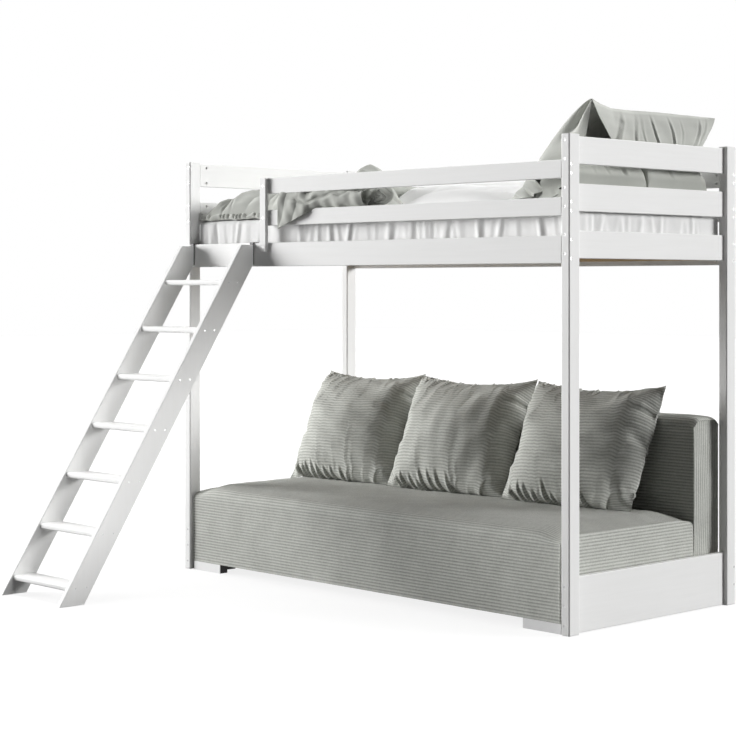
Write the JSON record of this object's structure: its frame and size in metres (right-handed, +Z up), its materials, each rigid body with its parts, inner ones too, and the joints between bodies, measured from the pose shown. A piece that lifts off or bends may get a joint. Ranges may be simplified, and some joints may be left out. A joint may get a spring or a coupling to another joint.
{
  "type": "sofa bunk bed",
  "caption": "Bunk bed with guard rails over a pull-out sofa bed whose back folds forward; hook-on slanted ladder, loose back cushions and a made-up mattress.",
  "frame": {"origin": "centre of the whole object's footprint, on the floor", "axes": "+X along the bed towards the pillow end, +Y to the back of the sofa, +Z up"},
  "size_m": [2.08, 1.9264, 1.8636],
  "materials": {
    "white_wood": "satin lacquer over wood",
    "pine": "bare planed pine",
    "beech": "smooth turned",
    "panel_board": "raw board",
    "dark_steel": "satin black paint",
    "bright_steel": "zinc plated, satin",
    "cord_cloth": "ribbed corduroy",
    "black_plastic": "matte",
    "white_face": "satin",
    "glide_plastic": "smooth",
    "sheet_cotton": "plain woven cotton",
    "blanket_cotton": "washed cotton, matte",
    "case_cotton": "washed cotton, matte"
  },
  "bodies": {
    "frame": {"lower_post_front_left": "white_wood", "lower_post_front_right": "white_wood", "lower_post_back_left": "white_wood", "lower_post_back_right": "white_wood", "upper_post_front_left": "white_wood", "upper_post_front_right": "white_wood", "upper_post_back_left": "white_wood", "upper_post_back_right": "white_wood", "post_dowels": "beech", "front_side_rail": "white_wood", "back_side_rail": "white_wood", "front_lower_guard_rail": "white_wood", "front_upper_guard_rail": "white_wood", "back_lower_guard_rail": "white_wood", "back_upper_guard_rail": "white_wood", "lower_back_rail": "white_wood", "guard_support": "white_wood", "guard_screws": "bright_steel", "left_end_top_rail": "white_wood", "left_end_middle_rail": "white_wood", "left_end_low_rail": "white_wood", "left_end_panel": "white_wood", "right_end_top_rail": "white_wood", "right_end_middle_rail": "white_wood", "right_end_low_rail": "white_wood", "right_end_panel": "white_wood", "frame_bolts": "bright_steel", "cross_nuts": "bright_steel", "slat_bearers": "pine", "slats": "pine", "base_rails": "panel_board", "base_side_boards": "panel_board", "base_runners": "panel_board", "base_feet": "black_plastic", "hinge_base_leaves": "bright_steel", "hinge_pins": "bright_steel", "mattress": "sheet_cotton", "blanket": "blanket_cotton", "duvet": "sheet_cotton", "pillows_lying": "case_cotton", "pillow_leaning": "case_cotton"},
    "ladder": {"ladder_stile_left": "white_wood", "ladder_stile_right": "white_wood", "ladder_treads": "white_wood", "ladder_hooks": "dark_steel", "tread_screws": "bright_steel", "hook_screws": "dark_steel"},
    "seat": {"seat_pad": "cord_cloth", "seat_side_pads": "cord_cloth", "seat_frame_boards": "panel_board", "seat_deck": "panel_board", "seat_feet": "black_plastic", "seat_foot_faces": "white_face", "seat_glides": "glide_plastic"},
    "backrest": {"backrest_pad": "cord_cloth", "backrest_board": "panel_board", "hinge_back_leaves": "bright_steel"},
    "loose_cushions": {"cushion_left": "cord_cloth", "cushion_middle": "cord_cloth", "cushion_right": "cord_cloth"}
  },
  "joints": [
    {"name": "seat_pull_out", "type": "slide", "parent": "frame", "child": "seat", "axis": [0, -1, 0], "range_m": [0, 0.56]},
    {"name": "backrest_fold", "type": "hinge", "parent": "frame", "child": "backrest", "pos_m": [0, 0.77724, 0.199], "axis": [1, 0, 0], "range_deg": [0, 90]},
    {"name": "cushions_forward", "type": "slide", "parent": "seat", "child": "loose_cushions", "axis": [0, -1, 0], "range_m": [0, 0.28]},
    {"name": "ladder_lift", "type": "slide", "parent": "frame", "child": "ladder", "axis": [0, 0, 1], "range_m": [0, 0.08]}
  ],
  "couplings": [
    {"joint": "backrest_fold", "follows": "seat_pull_out", "rad_per_m": 2.8049},
    {"joint": "cushions_forward", "follows": "seat_pull_out", "ratio": 0.5}
  ]
}
